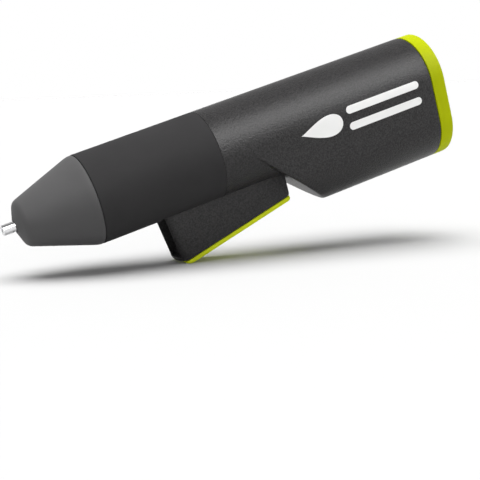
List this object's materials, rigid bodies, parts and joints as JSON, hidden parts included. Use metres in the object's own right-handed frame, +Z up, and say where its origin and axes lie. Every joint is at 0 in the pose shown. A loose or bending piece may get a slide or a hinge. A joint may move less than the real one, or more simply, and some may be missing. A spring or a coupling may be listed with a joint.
{
  "type": "glue gun",
  "caption": "Pen-style hot-melt glue gun: round barrel with tapered nose and steel nozzle, squeeze lever underneath that feeds a glue stick, keel with power socket at the rear.",
  "frame": {"origin": "centre of the glue stick inlet in the outer face of the rear cap", "axes": "+X out of the inlet along the barrel, so the nozzle points to -X; +Y to the tool's right looking towards the nozzle; +Z up, away from the lever"},
  "size_m": [0.1895, 0.036, 0.0555],
  "materials": {
    "body_plastic": "fine-grained dark grey moulding",
    "grip_rubber": "smooth matte soft grip",
    "nose_plastic": "smooth heat-proof grey moulding",
    "lime_plastic": "satin lime green moulding",
    "nozzle_steel": "bright drawn tube",
    "cast_aluminium": "as cast",
    "heater_ceramic": "unglazed",
    "contact_brass": "stamped sheet",
    "spring_steel": "drawn or pressed",
    "support_plastic": "heat-proof moulding",
    "collar_silicone": "soft silicone",
    "inner_plastic": "plain moulding",
    "pin_steel": "turned",
    "board_laminate": "solder-masked laminate",
    "component_black": "moulded packages",
    "wire_red": "insulated lead",
    "wire_black": "insulated lead",
    "linkage_plastic": "slippery natural moulding",
    "capacitor_sleeve": "shrink sleeve",
    "copper_winding": "enamelled wire, shown plain",
    "pad_rubber": "fine ribs across"
  },
  "bodies": {
    "base": {"housing_left": "body_plastic", "housing_right": "body_plastic", "grip_sleeve": "grip_rubber", "nose_cone": "nose_plastic", "rear_cap": "lime_plastic", "nozzle": "nozzle_steel", "melt_chamber": "cast_aluminium", "heater_element": "heater_ceramic", "heater_electrodes": "contact_brass", "heater_clip": "spring_steel", "thermal_cutoff": "spring_steel", "front_support": "support_plastic", "rear_support": "support_plastic", "inlet_collar": "collar_silicone", "collar_clip": "spring_steel", "guide_tube": "inner_plastic", "rail_bracket": "inner_plastic", "guide_rails": "pin_steel", "return_springs": "spring_steel", "power_socket": "component_black", "socket_contacts": "contact_brass", "circuit_board": "board_laminate", "board_chips": "component_black", "board_capacitor": "capacitor_sleeve", "board_inductor": "copper_winding", "trigger_switch": "component_black", "wire_red": "wire_red", "wire_black": "wire_black", "housing_screws": "pin_steel", "lever_pin": "pin_steel"},
    "lever": {"lever_shell": "body_plastic", "lever_pad": "pad_rubber", "link_pin_lower": "pin_steel"},
    "link": {"push_link": "linkage_plastic"},
    "carriage": {"feed_carriage": "linkage_plastic", "jaw_pin": "pin_steel"},
    "jaw": {"grip_jaw": "spring_steel", "link_pin_upper": "pin_steel"}
  },
  "joints": [
    {"name": "lever_squeeze", "type": "hinge", "parent": "base", "child": "lever", "pos_m": [-0.0795, 0, -0.012], "axis": [0, 1, 0], "range_deg": [0, 10], "stiffness_Nm_per_rad": 0.5, "springref_deg": -20.05},
    {"name": "link_swing", "type": "hinge", "parent": "lever", "child": "link", "pos_m": [-0.097, 0, -0.024], "axis": [0, 1, 0], "range_deg": [-18.6, 0]},
    {"name": "carriage_feed", "type": "slide", "parent": "base", "child": "carriage", "axis": [-1, 0, 0], "range_m": [0, 0.0038], "deforming": ["return_springs"]},
    {"name": "jaw_bite", "type": "hinge", "parent": "carriage", "child": "jaw", "pos_m": [-0.103, 0, -0.007], "axis": [0, 1, 0], "range_deg": [0, 3.2]}
  ],
  "couplings": [
    {"joint": "link_swing", "follows": "lever_squeeze", "ratio": -1.8386},
    {"joint": "carriage_feed", "follows": "lever_squeeze", "m_per_rad": 0.021275},
    {"joint": "jaw_bite", "follows": "lever_squeeze", "ratio": 0.3}
  ]
}
